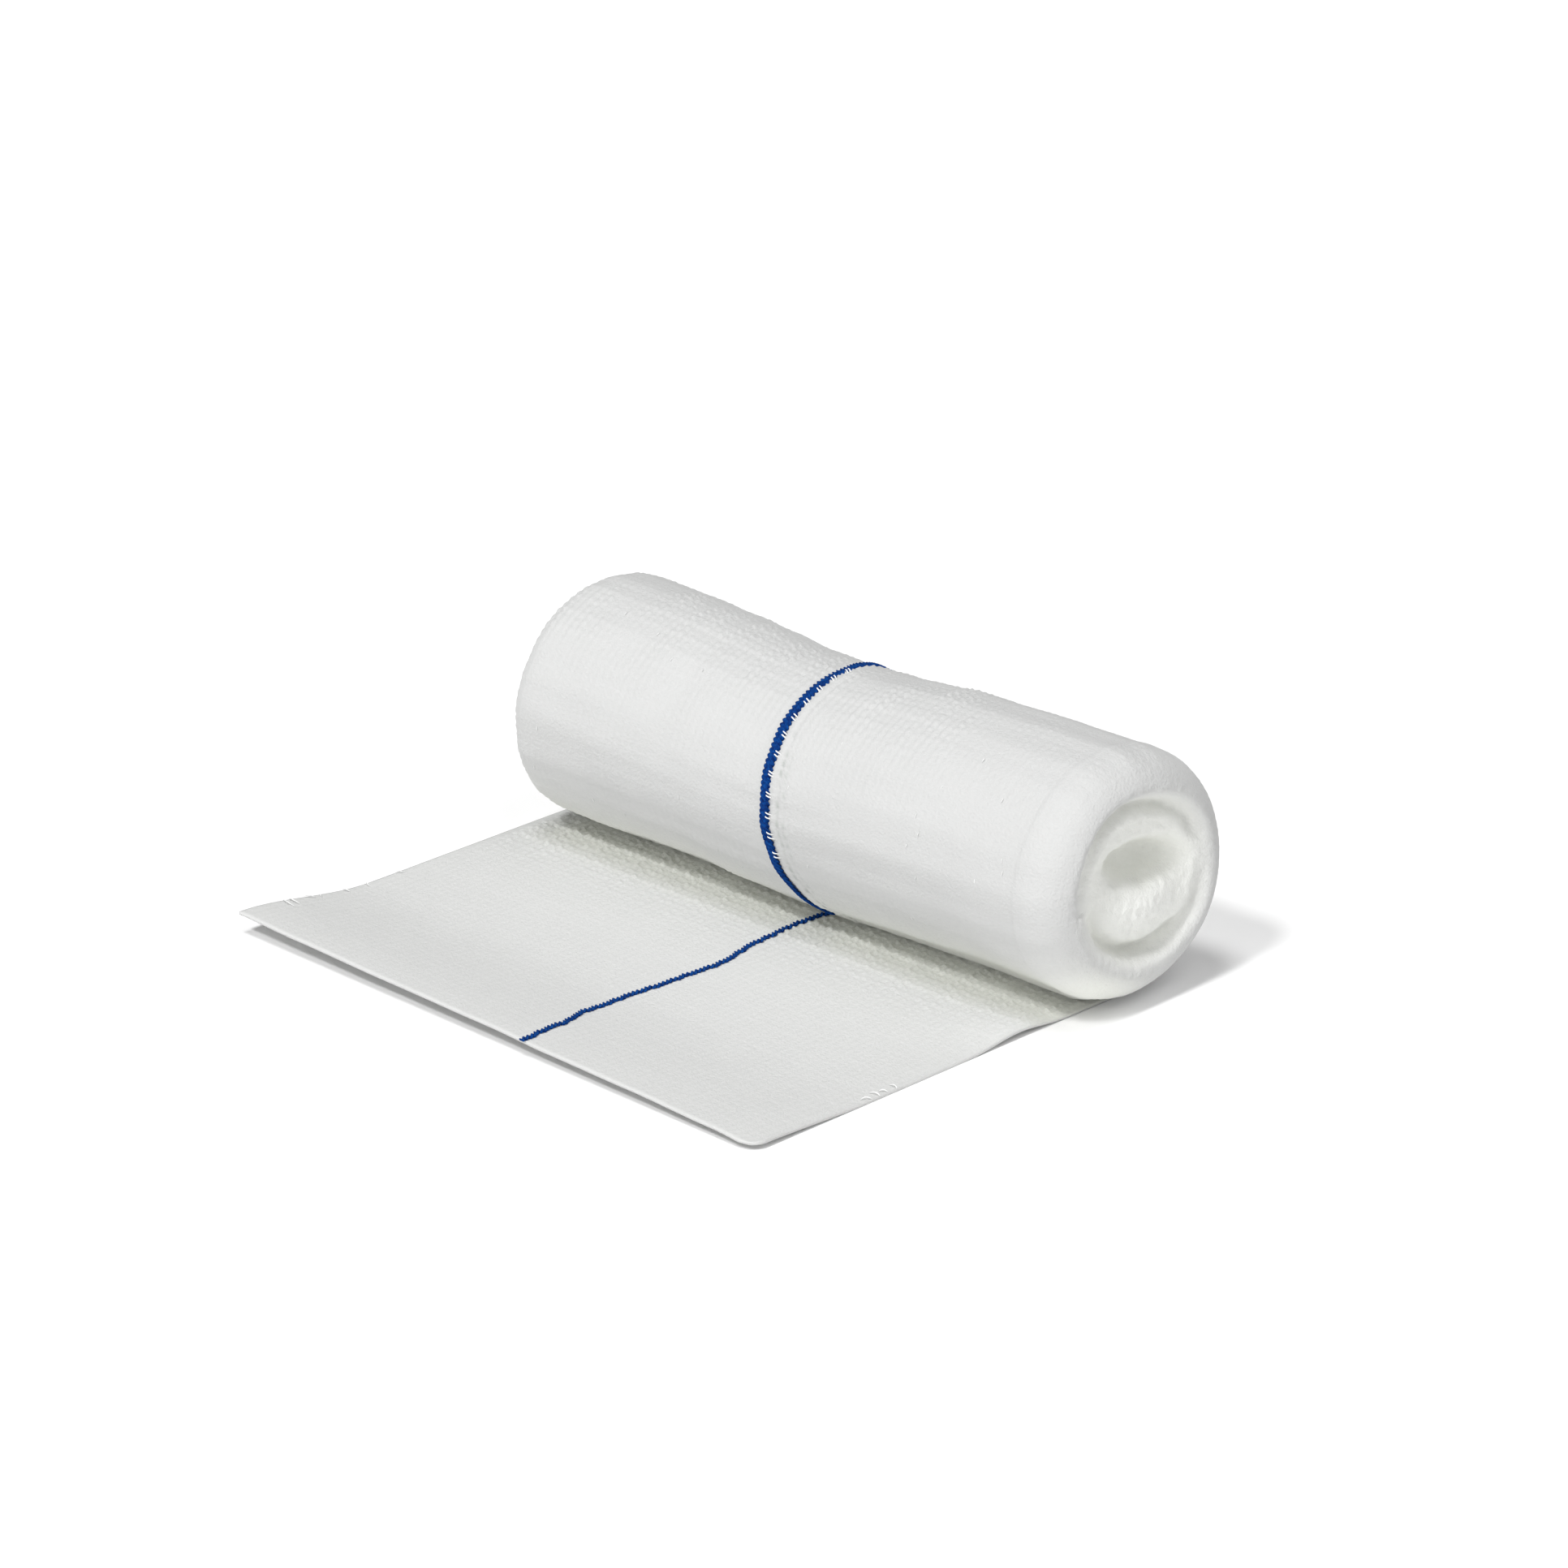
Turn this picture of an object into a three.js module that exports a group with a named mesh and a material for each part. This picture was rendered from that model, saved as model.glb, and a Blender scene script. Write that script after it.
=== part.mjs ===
// Gauze bandage roll: a knitted strip wound on itself, lying on its own unwound end.
// Millimetres. X runs along the roll, -Y is the way the loose end points, +Z is up.
// The modelling frame has its origin on the surface, under the roll's axis, midway across the strip.
// The finished group is moved so that its origin is the bottom centre of its box.

import * as THREE from 'three';

// Driving dimensions of the strip
const CLOTH_WIDTH = 100;
const SHEET_THICKNESS = 1.0;
const CLEARANCE = 0.3;
const FRONT_EDGE_Y = -66.2;
const FRONT_EDGE_SKEW = -0.018;
const FRONT_CORNER_RADIUS = 2.5;
const SHEET_COLUMNS = 20;
const FLAT_ROWS = 24;
const FLAT_ROW_CROWDING = 1.5;
const CLIMB_ROWS = 7;
const LEAST_LIFT = 0.02;

// Driving dimensions of the wound part
const AXIS_HEIGHT = 18.45;
const NEAR_END_X = 56.6;
const FAR_END_X = -48.3;
const NEAR_SHOULDER = { along: 6.2, inward: 6.7 };
const FAR_SHOULDER = { along: 5.0, inward: 7.7 };
const WIDENING = 1.03;
const FLAT_ANGLE = 9;
const LEAVING_ANGLE = 35;
const AROUND = 64;
const STEP_ANGLE = 0.6;
const RINGS_INSIDE_GROOVE = 9;
const RINGS_OUTSIDE_GROOVE = 8;
const END_RING_REACH = 0.993;
const BODY_RINGS = 24;
const BODY_MARGIN = 0.6;
const ROOM_FADES_OVER = 3;
const RESTING_HEIGHT = SHEET_THICKNESS + CLEARANCE;

// Marker yarn
const YARN_ON_ROLL = { width: 1.1, height: 0.5, from: -58, to: 216, steps: 60 };
const YARN_ON_END = { width: 0.8, height: 0.4, from: -65.9, to: -7.2, steps: 30 };
const YARN_SIDES = 8;

// Colours
const GAUZE_COLOUR = 0xf0f1ee;
const YARN_COLOUR = 0x10409a;

const DEGREES = Math.PI / 180;

// The wound part along its axis: radius, and how far the axis rides above its mean height
const ROLL_SECTIONS = [
  { x: -60, radius: 17.5, lift: 0.2 },
  { x: -42, radius: 17.6, lift: 0.35 },
  { x: -31, radius: 17.5, lift: 0.2 },
  { x: -24, radius: 17.35, lift: 0.0 },
  { x: -16, radius: 17.05, lift: -0.35 },
  { x: -8, radius: 16.95, lift: -0.8 },
  { x: -1, radius: 16.9, lift: -0.9 },
  { x: 7, radius: 17.2, lift: -0.8 },
  { x: 15, radius: 17.25, lift: -0.4 },
  { x: 22, radius: 17.4, lift: -0.1 },
  { x: 38, radius: 17.4, lift: 0.2 },
  { x: 60, radius: 17.7, lift: 0.2 },
];

// The groove between the outer turns and the inner coil, once round the near end.
// The angle is counted from +Y towards +Z.
const END_GROOVE = [
  { angle: 185, radius: 9.3, depth: 0.3 },
  { angle: 200, radius: 9.4, depth: 1.0 },
  { angle: 230, radius: 9.5, depth: 1.8 },
  { angle: 263, radius: 9.7, depth: 2.2 },
  { angle: 301, radius: 10.5, depth: 2.0 },
  { angle: 332, radius: 11.6, depth: 1.1 },
  { angle: 365, radius: 11.8, depth: 0.3 },
  { angle: 395, radius: 11.4, depth: 1.6 },
  { angle: 433, radius: 10.7, depth: 2.1 },
  { angle: 481, radius: 11.7, depth: 2.0 },
  { angle: 515, radius: 11.6, depth: 1.1 },
  { angle: 545, radius: 11.8, depth: 0.3 },
];
const GROOVE_HALF_WIDTH = 1.3;
const INNER_COIL = { setBack: 1.8, from: 8, to: 14 };

// The hollow in the middle is a tilted oval. The core, the innermost folds, bulges below it.
const HOLLOW = { y: 1.5, z: 2.5, across: 6.8, upright: 2.7, tilt: -8, depth: 3.4 };
const CORE = { y: 1.4, z: -3.7, height: 1.4, across: 6.6, upright: 3.0 };
const FAR_END_RELIEF = 0.8;

// Height of the loose end's front edge above the surface, across its width
const FRONT_LIFT = [
  { x: -50, lift: 2.4 },
  { x: -38, lift: 2.1 },
  { x: -20, lift: 1.8 },
  { x: 0, lift: 1.6 },
  { x: 20, lift: 1.3 },
  { x: 42, lift: 0.8 },
  { x: 50, lift: 0.5 },
];
const FRONT_LIFT_REACH = 24;
const EDGE_RIPPLE = { x: 50, y: -17, height: 0.9, across: 9, along: 6 };

// Where the marker yarn runs, measured from the middle of the strip
const YARN_PATH_ON_END = [
  { y: -66, x: 7.5 },
  { y: -59, x: 6.5 },
  { y: -52, x: 4.7 },
  { y: -44, x: 4.0 },
  { y: -37, x: 4.6 },
  { y: -28, x: 5.1 },
  { y: -19, x: 3.6 },
  { y: -12, x: 3.3 },
  { y: -5, x: 3.6 },
];
const YARN_PATH_ON_ROLL = [
  { angle: -60, x: 7.6 },
  { angle: -38, x: 6.6 },
  { angle: -16, x: 5.3 },
  { angle: 4, x: 4.1 },
  { angle: 30, x: 3.1 },
  { angle: 50, x: 2.5 },
  { angle: 88, x: 2.3 },
  { angle: 105, x: 1.5 },
  { angle: 120, x: 0.5 },
  { angle: 240, x: 0.3 },
];

// Looks a column up in a table, easing from row to row
function look(table, key, value, column) {
  if (value <= table[0][key]) return table[0][column];
  for (let i = 1; i < table.length; i += 1) {
    const before = table[i - 1];
    const after = table[i];
    if (value <= after[key]) {
      const t = (value - before[key]) / (after[key] - before[key]);
      const eased = t * t * (3 - 2 * t);
      return before[column] + (after[column] - before[column]) * eased;
    }
  }
  return table[table.length - 1][column];
}

function bell(distance, width) {
  return Math.exp(-((distance / width) ** 2));
}

function rollRadius(x) {
  return look(ROLL_SECTIONS, 'x', x, 'radius');
}

function axisPoint(x) {
  const lift = look(ROLL_SECTIONS, 'x', x, 'lift');
  return { y: 0.5 * lift, z: AXIS_HEIGHT + lift };
}

// A point at a distance from the axis. The angle is counted from +Y towards +Z.
function aroundAxis(x, distance, angle) {
  const axis = axisPoint(x);
  return new THREE.Vector3(
    x,
    axis.y + WIDENING * distance * Math.cos(angle * DEGREES),
    axis.z + distance * Math.sin(angle * DEGREES),
  );
}

// Distance from the axis to the underside of the strip, where it leaves the back of the roll:
// flat on the surface at first, then easing up to the roll's own radius.
// behind is the angle from straight down towards the back.
function leavingTurn(x, behind) {
  const toSurface = axisPoint(x).z / Math.cos(behind * DEGREES);
  const climbed = THREE.MathUtils.smoothstep(behind, FLAT_ANGLE, LEAVING_ANGLE);
  return THREE.MathUtils.lerp(toSurface, rollRadius(x), climbed);
}

// Wound surface with the room that the leaving strip takes out of it
function woundRadius(x, angle, shoulder) {
  const full = rollRadius(x) - shoulder;
  const behind = angle - 270;
  if (behind < 0 || behind > LEAVING_ANGLE) return full;
  const room = leavingTurn(x, behind) - SHEET_THICKNESS - CLEARANCE;
  const fade = Math.max(0, 1 - shoulder / ROOM_FADES_OVER);
  return THREE.MathUtils.lerp(full, Math.min(full, room), fade);
}

function grooveAt(angle) {
  const turn = angle < END_GROOVE[0].angle ? angle + 360 : angle;
  return {
    radius: look(END_GROOVE, 'angle', turn, 'radius'),
    depth: look(END_GROOVE, 'angle', turn, 'depth'),
  };
}

// How far the end lies behind its crest, at a distance from the axis and an angle
function endRelief(distance, angle) {
  const spiral = grooveAt(angle);
  const groove = spiral.depth * bell(distance - spiral.radius, GROOVE_HALF_WIDTH);
  const inner = INNER_COIL.setBack
    * (1 - THREE.MathUtils.smoothstep(distance, INNER_COIL.from, INNER_COIL.to));
  const y = distance * Math.cos(angle * DEGREES);
  const z = distance * Math.sin(angle * DEGREES);
  const [tiltCos, tiltSin] = [Math.cos(HOLLOW.tilt * DEGREES), Math.sin(HOLLOW.tilt * DEGREES)];
  const across = (y - HOLLOW.y) * tiltCos + (z - HOLLOW.z) * tiltSin;
  const upright = (z - HOLLOW.z) * tiltCos - (y - HOLLOW.y) * tiltSin;
  const fromMiddle = Math.hypot(across / HOLLOW.across, upright / HOLLOW.upright);
  const hollow = HOLLOW.depth * bell(fromMiddle ** 2, 1);
  const core = CORE.height * bell(y - CORE.y, CORE.across) * bell(z - CORE.z, CORE.upright);
  return groove + inner + hollow - core;
}

// One closed skin over a stack of rings that have the same number of points, with a point at each end
function skinOverRings(rings, firstPole, lastPole) {
  const count = rings[0].length;
  const points = [firstPole, ...rings.flat(), lastPole];
  const last = points.length - 1;
  const faces = [];
  const at = (ring, i) => 1 + ring * count + (i % count);
  for (let i = 0; i < count; i += 1) {
    faces.push(0, at(0, i + 1), at(0, i));
    faces.push(last, at(rings.length - 1, i), at(rings.length - 1, i + 1));
    for (let ring = 0; ring + 1 < rings.length; ring += 1) {
      faces.push(at(ring, i), at(ring, i + 1), at(ring + 1, i));
      faces.push(at(ring, i + 1), at(ring + 1, i + 1), at(ring + 1, i));
    }
  }
  return geometryFrom(points, faces);
}

// A slab between an upper and a lower grid of points, closed round its edges
function slabBetween(upper, lower) {
  const rows = upper.length;
  const columns = upper[0].length;
  const points = [...upper.flat(), ...lower.flat()];
  const below = rows * columns;
  const at = (row, column) => row * columns + column;
  const faces = [];
  const quad = (a, b, c, d) => faces.push(a, b, c, a, c, d);
  for (let row = 0; row + 1 < rows; row += 1) {
    for (let column = 0; column + 1 < columns; column += 1) {
      const [a, b] = [at(row, column), at(row, column + 1)];
      const [c, d] = [at(row + 1, column + 1), at(row + 1, column)];
      quad(a, b, c, d);
      quad(below + d, below + c, below + b, below + a);
    }
    const [left, leftNext] = [at(row, 0), at(row + 1, 0)];
    const [right, rightNext] = [at(row, columns - 1), at(row + 1, columns - 1)];
    quad(left, leftNext, below + leftNext, below + left);
    quad(rightNext, right, below + right, below + rightNext);
  }
  for (let column = 0; column + 1 < columns; column += 1) {
    const [front, frontNext] = [at(0, column), at(0, column + 1)];
    const [back, backNext] = [at(rows - 1, column), at(rows - 1, column + 1)];
    quad(frontNext, front, below + front, below + frontNext);
    quad(back, backNext, below + backNext, below + back);
  }
  return geometryFrom(points, faces);
}

function geometryFrom(points, faces) {
  const geometry = new THREE.BufferGeometry();
  geometry.setAttribute('position', new THREE.Float32BufferAttribute(points.flatMap((p) => p.toArray()), 3));
  geometry.setIndex(faces);
  geometry.computeVertexNormals();
  return geometry;
}

// The wound part: rings from the far end's middle, over its shoulder, along the roll, to the near end
function rollGeometry() {
  // The angles run once round, from just above the strip's leaving line to that line
  const firstAngle = 270 + LEAVING_ANGLE + STEP_ANGLE;
  const angles = [];
  for (let i = 0; i < AROUND; i += 1) {
    angles.push((firstAngle + (i * (360 - STEP_ANGLE)) / (AROUND - 1)) % 360);
  }
  const place = (x, distance, angle) => {
    const point = aroundAxis(x, distance, angle);
    point.z = Math.max(point.z, RESTING_HEIGHT);
    return point;
  };

  // The rings that shape an end: one runs along the groove's floor, the rest lie evenly inside it
  // and closer together towards the rim outside it
  const lastRing = RINGS_INSIDE_GROOVE + RINGS_OUTSIDE_GROOVE;
  const ringDistance = (i, angle, radius) => {
    const floor = grooveAt(angle).radius;
    if (i <= RINGS_INSIDE_GROOVE) return (floor * i) / RINGS_INSIDE_GROOVE;
    const outward = Math.sin((((i - RINGS_INSIDE_GROOVE) / RINGS_OUTSIDE_GROOVE) * Math.PI) / 2);
    return THREE.MathUtils.lerp(floor, radius * END_RING_REACH, outward);
  };
  const shoulderSetBack = (distance, radius, shoulder) => {
    const inward = Math.max(0, distance - (radius - shoulder.inward)) / shoulder.inward;
    return shoulder.along * (1 - Math.sqrt(Math.max(0, 1 - inward * inward)));
  };
  const endRing = (crest, way, ring, shoulder, reliefScale) => angles.map((angle) => {
    const radius = rollRadius(crest);
    const distance = ringDistance(ring, angle, radius);
    const relief = reliefScale * endRelief(distance, angle);
    const x = crest - way * (shoulderSetBack(distance, radius, shoulder) + relief);
    const room = woundRadius(x, angle, radius - distance);
    return place(x, Math.min(distance, room), angle);
  });

  const rings = [];
  for (let i = 1; i <= lastRing; i += 1) {
    rings.push(endRing(FAR_END_X, -1, i, FAR_SHOULDER, FAR_END_RELIEF));
  }
  const bodyFrom = FAR_END_X + FAR_SHOULDER.along + BODY_MARGIN;
  const bodyTo = NEAR_END_X - NEAR_SHOULDER.along - BODY_MARGIN;
  for (let i = 0; i <= BODY_RINGS; i += 1) {
    const x = THREE.MathUtils.lerp(bodyFrom, bodyTo, i / BODY_RINGS);
    rings.push(angles.map((angle) => place(x, woundRadius(x, angle, 0), angle)));
  }
  for (let i = lastRing; i >= 1; i -= 1) {
    rings.push(endRing(NEAR_END_X, 1, i, NEAR_SHOULDER, 1));
  }
  const farPole = place(FAR_END_X + FAR_END_RELIEF * endRelief(0, 90), 0, 0);
  const nearPole = place(NEAR_END_X - endRelief(0, 90), 0, 0);
  return skinOverRings(rings, farPole, nearPole);
}

function frontEdgeY(x) {
  return FRONT_EDGE_Y + FRONT_EDGE_SKEW * x;
}

// Height of the loose end's underside above the surface
function undersideHeight(x, y) {
  const fromEdge = y - frontEdgeY(x);
  const share = 1 - THREE.MathUtils.smoothstep(fromEdge, 0, FRONT_LIFT_REACH);
  const front = look(FRONT_LIFT, 'x', x, 'lift') * share;
  const ripple = EDGE_RIPPLE.height
    * bell(x - EDGE_RIPPLE.x, EDGE_RIPPLE.across)
    * bell(y - EDGE_RIPPLE.y, EDGE_RIPPLE.along);
  const height = front + ripple;
  return height < LEAST_LIFT ? 0 : height;
}

// The unwound end: flat rows from the front edge to under the roll, then rows that climb the roll's back
function looseEndGeometry() {
  const half = CLOTH_WIDTH / 2;
  const across = (left, right) => Array.from(
    { length: SHEET_COLUMNS + 1 },
    (_, i) => THREE.MathUtils.lerp(left, right, i / SHEET_COLUMNS),
  );
  const upper = [];
  const lower = [];

  // The rows crowd towards the front edge, where the corner is rounded and the edge lifts
  for (let i = 0; i <= FLAT_ROWS; i += 1) {
    const share = (i / FLAT_ROWS) ** FLAT_ROW_CROWDING;
    const cut = Math.max(0, FRONT_CORNER_RADIUS + FRONT_EDGE_Y * share);
    const trim = FRONT_CORNER_RADIUS - Math.sqrt(FRONT_CORNER_RADIUS ** 2 - cut ** 2);
    const row = across(-half, half - trim).map((x) => {
      const y = frontEdgeY(x) * (1 - share);
      return new THREE.Vector3(x, y, undersideHeight(x, y));
    });
    lower.push(row);
    upper.push(row.map((p) => new THREE.Vector3(p.x, p.y, p.z + SHEET_THICKNESS)));
  }

  // The far edge draws in before it climbs, where the roll's far shoulder is rounded
  const lastAngle = LEAVING_ANGLE - (CLEARANCE + LEAST_LIFT) / (rollRadius(0) * DEGREES);
  const farShoulderStart = FAR_END_X + FAR_SHOULDER.along;
  for (let i = 0; i < CLIMB_ROWS; i += 1) {
    const share = i / (CLIMB_ROWS - 1);
    const behind = THREE.MathUtils.lerp(FLAT_ANGLE, lastAngle, share);
    const left = THREE.MathUtils.lerp(-half, farShoulderStart, Math.min(1, (i + 1) / 2));
    const xs = across(left, half - BODY_MARGIN * share);
    lower.push(xs.map((x) => aroundAxis(x, leavingTurn(x, behind), 270 + behind)));
    upper.push(xs.map((x) => aroundAxis(x, leavingTurn(x, behind) - SHEET_THICKNESS, 270 + behind)));
  }
  for (const point of lower.flat()) {
    point.z = Math.max(point.z, 0);
  }
  return slabBetween(upper, lower);
}

// A flattened strand along a path. Each station gives the point under the strand's middle,
// the way out of the cloth there, and the way across the strand.
function strandGeometry(stations, width, height) {
  const rings = stations.map(({ base, out, side }) => {
    const middle = base.clone().addScaledVector(out, CLEARANCE + height / 2);
    const ring = [];
    for (let i = 0; i < YARN_SIDES; i += 1) {
      const angle = ((i + 0.5) / YARN_SIDES) * 2 * Math.PI;
      ring.push(middle.clone()
        .addScaledVector(side, (width / 2) * Math.cos(angle))
        .addScaledVector(out, (height / 2) * Math.sin(angle)));
    }
    return ring;
  });
  const middleOf = (ring) => ring.reduce((sum, p) => sum.add(p), new THREE.Vector3()).divideScalar(ring.length);
  return skinOverRings(rings, middleOf(rings[0]), middleOf(rings[rings.length - 1]));
}

// The marker yarn round the roll, from the nip at the front, over the top and down the back.
// Its angle is counted from the front, -Y, upwards.
function yarnOnRollGeometry() {
  const stations = [];
  for (let i = 0; i <= YARN_ON_ROLL.steps; i += 1) {
    const fromFront = YARN_ON_ROLL.from + ((YARN_ON_ROLL.to - YARN_ON_ROLL.from) * i) / YARN_ON_ROLL.steps;
    const x = look(YARN_PATH_ON_ROLL, 'angle', fromFront, 'x');
    const angle = 180 - fromFront;
    const out = new THREE.Vector3(0, Math.cos(angle * DEGREES), Math.sin(angle * DEGREES));
    const base = aroundAxis(x, rollRadius(x), angle);
    stations.push({ base, out, side: new THREE.Vector3(-1, 0, 0) });
  }
  return strandGeometry(stations, YARN_ON_ROLL.width, YARN_ON_ROLL.height);
}

// The marker yarn along the loose end, from the front edge to the nip
function yarnOnEndGeometry() {
  const stations = [];
  for (let i = 0; i <= YARN_ON_END.steps; i += 1) {
    const y = YARN_ON_END.from + ((YARN_ON_END.to - YARN_ON_END.from) * i) / YARN_ON_END.steps;
    const x = look(YARN_PATH_ON_END, 'y', y, 'x');
    const base = new THREE.Vector3(x, y, undersideHeight(x, y) + SHEET_THICKNESS);
    stations.push({ base, out: new THREE.Vector3(0, 0, 1), side: new THREE.Vector3(-1, 0, 0) });
  }
  return strandGeometry(stations, YARN_ON_END.width, YARN_ON_END.height);
}

function piece(name, geometry, colour, roughness) {
  const material = new THREE.MeshStandardMaterial({ color: colour, roughness, metalness: 0 });
  const mesh = new THREE.Mesh(geometry, material);
  mesh.name = name;
  return mesh;
}

const bandage = new THREE.Group();
bandage.add(piece('roll', rollGeometry(), GAUZE_COLOUR, 0.9));
bandage.add(piece('loose_end', looseEndGeometry(), GAUZE_COLOUR, 0.9));
bandage.add(piece('marker_yarn_roll', yarnOnRollGeometry(), YARN_COLOUR, 0.8));
bandage.add(piece('marker_yarn_end', yarnOnEndGeometry(), YARN_COLOUR, 0.8));

// The origin of the finished part is the bottom centre of its box
const box = new THREE.Box3().setFromObject(bandage, true);
const centre = box.getCenter(new THREE.Vector3());
bandage.position.set(-centre.x, -centre.y, -box.min.z);

const part = new THREE.Group();
part.add(bandage);

export default part;
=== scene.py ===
"""The gauze bandage roll's looks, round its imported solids. Blender 4.5, metres.

Shapes are worked out in millimetres in a strip frame: its origin lies on the surface under the roll's axis,
midway across the strip. X runs along the roll, -Y is the way the loose end points, and +Z is up.
"""

import math

import bpy
import numpy as np
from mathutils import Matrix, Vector, noise


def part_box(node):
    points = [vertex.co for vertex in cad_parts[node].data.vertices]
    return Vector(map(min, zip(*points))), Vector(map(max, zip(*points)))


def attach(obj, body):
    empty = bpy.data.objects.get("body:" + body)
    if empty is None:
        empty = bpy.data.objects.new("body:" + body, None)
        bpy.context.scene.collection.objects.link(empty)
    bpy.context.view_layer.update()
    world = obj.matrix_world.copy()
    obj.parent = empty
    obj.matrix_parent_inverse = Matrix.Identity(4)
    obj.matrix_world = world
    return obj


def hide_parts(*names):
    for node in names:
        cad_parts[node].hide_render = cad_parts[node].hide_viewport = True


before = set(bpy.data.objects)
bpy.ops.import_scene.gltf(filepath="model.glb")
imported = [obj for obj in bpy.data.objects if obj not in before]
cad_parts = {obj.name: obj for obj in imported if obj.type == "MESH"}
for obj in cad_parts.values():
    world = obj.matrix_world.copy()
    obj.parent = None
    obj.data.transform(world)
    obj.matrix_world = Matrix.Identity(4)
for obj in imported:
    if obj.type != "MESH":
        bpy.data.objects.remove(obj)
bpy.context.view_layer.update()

MM = 0.001
TURN = 2 * math.pi

# The photograph's camera, in the strip frame, millimetres and degrees
CAMERA_AIM = (-9.36, -0.59, 14.84)
CAMERA_AZIMUTH = 44.32
CAMERA_ELEVATION = 21.79
CAMERA_DISTANCE = 900
CAMERA_LENS = 149.44
CAMERA_SENSOR = 36

# The wound part
AXIS_HEIGHT = 18.45
MEAN_RADIUS = 17.4
NEAR_END_X = 56.6
FAR_END_X = -48.3
NEAR_SHOULDER = {"along": 7.4, "inward": 7.8}
FAR_SHOULDER = {"along": 6.0, "inward": 8.8}
SHOULDER_SQUARENESS = 2.5
WIDENING = 1.03
CLOTH = 0.5
FLOOR_CLEARANCE = 0.02
BACK_FLAT_ANGLE = 9
BACK_LEAVING_ANGLE = 35
FRONT_FLAT_ANGLE = 6
FRONT_LEAVING_ANGLE = 24
ROOM_FADES_OVER = 3

# x, radius, and how far the axis rides above its mean height
ROLL_SECTIONS = (
    (-60, 17.5, 0.2),
    (-42, 17.6, 0.35),
    (-31, 17.5, 0.2),
    (-24, 17.35, 0.0),
    (-16, 17.05, -0.35),
    (-8, 16.95, -0.8),
    (-1, 16.9, -0.9),
    (7, 17.2, -0.8),
    (15, 17.25, -0.4),
    (22, 17.4, -0.1),
    (38, 17.4, 0.2),
    (60, 17.7, 0.2),
)

# How far the roll's lower front draws in along its length, how far the near end spreads low at the back,
# and how far the far end reaches out low at the front
LOWER_FRONT = ((-60, 0.1), (-35, 0.1), (-25, 0.6), (-12, 0.6), (0, 0.55), (13, 0.7), (28, 0.95), (60, 0.95))
LOWER_FRONT_ANGLE = {"middle": 236, "width": 30}
NEAR_SPREAD = {"x_from": 26, "x_to": 56, "out": 1.0, "middle": 332, "width": 36}
FAR_PUSH = {"x_from": -34, "x_to": -46, "out": 1.0, "middle": 236, "width": 34}

# The groove between the outer turns and the inner coil: angle from +Y towards +Z, radius, depth
END_GROOVE = (
    (185, 9.3, 0.3),
    (200, 9.4, 1.0),
    (230, 9.5, 1.8),
    (263, 9.7, 2.2),
    (301, 10.5, 2.0),
    (332, 11.6, 1.1),
    (365, 11.8, 0.3),
    (395, 11.4, 1.6),
    (433, 10.7, 2.1),
    (481, 11.7, 2.0),
    (515, 11.6, 1.1),
    (545, 11.8, 0.3),
)
GROOVE_HALF_WIDTH = 1.15
INNER_COIL = {"set_back": 1.8, "start": 8, "stop": 14}
HOLLOW = {"y": 1.5, "z": 2.5, "across": 6.8, "upright": 2.8, "tilt": -8, "depth": 3.6}
CORE = {"y": 1.4, "z": -3.7, "height": 1.3, "across": 6.6, "upright": 3.0}
LIP_WAVE = {"height": 0.16, "pitch": 5.6}

# The far end has the near one's relief, but this much of it
FAR_END_RELIEF = 0.8

# The knit: wales run along the strip and wefts across it
ROWS_PER_WEFT = 6
COLUMNS_PER_WALE = 4
ROLL_COLUMNS = 424
ROLL_WEFTS = 39
WEFT_PROFILE = (1.0, 0.5, 0.1, 0.7, 0.3, 0.2)
LOOP_PROFILE = (1.0, 0.8, 0.0, 0.9, 0.7, 0.0)
WALE_RELIEF = 0.03
WEFT_RELIEF = 0.06
LOOP_RELIEF = 0.16
SLANT_RELIEF = 0.04

# How boldly the knit stands out: at the front, the top and the back, and where one fades into the next
BOLDNESS_AT_FRONT = 0.45
BOLDNESS_AT_TOP = 1.5
BOLDNESS_AT_BACK = 0.6
FRONT_TO_TOP = (35, 75)
TOP_TO_BACK = (94, 118)
CALM_SHARE = 0.6
CALM_NEAR_END_X = (20, 42)
CALM_INSIDE_RIM = (0.5, 4)
BOLDNESS_PATCH = {"size": 8, "strength": 1.1, "least": 0.35, "most": 1.3}

# The edges of the turns and the fuzz on the ends, and the slow unevenness of the whole roll
TURN_RELIEF = 0.025
TURN_PITCH = 1.25
FUZZ_RELIEF = 0.16
FUZZ_SIZE = 1.0
DRIFT_RELIEF = 0.14
DRIFT_SIZE = 9

# Long low steps along the roll, where the edges of folded turns show through
STEP_RELIEF = 0.2
STEP_ACROSS = 2.6
STEP_ALONG = 34

# The ladder of small gaps that the marker yarn leaves beside it. The rungs give distance from the yarn,
# rise and width, and the painted shade in its gaps gives distance from the yarn, strength and width.
LADDER_RUNGS = ((0.0, -0.1, 0.7), (1.3, 0.12, 0.5), (2.3, -0.25, 0.3), (3.4, -0.12, 0.3))
LADDER_SHADE = ((2.3, 5.5, 0.3), (3.4, 3.0, 0.28))

# The loose end
STRIP_WIDTH = 100
FRONT_EDGE_Y = -66.2
FRONT_EDGE_SKEW = -0.018
FRONT_CORNER_RADIUS = 2.5
TUCKED_END_Y = 2.4
SHEET_COLUMNS = 320
SHEET_ROWS = 144
FRONT_LIFT = ((-50, 2.8), (-38, 2.5), (-20, 2.2), (0, 2.0), (12, 1.65), (27, 1.5), (42, 1.15), (50, 0.75))
FRONT_LIFT_REACH = 24
EDGE_RIPPLE = {"x": 50, "y": -17, "height": 0.9, "across": 9, "along": 6}
SHEET_SMOOTHNESS = 0.3
# Share of an even lighter tone over the whole loose end
SHEET_TONE = 0.19

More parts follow.
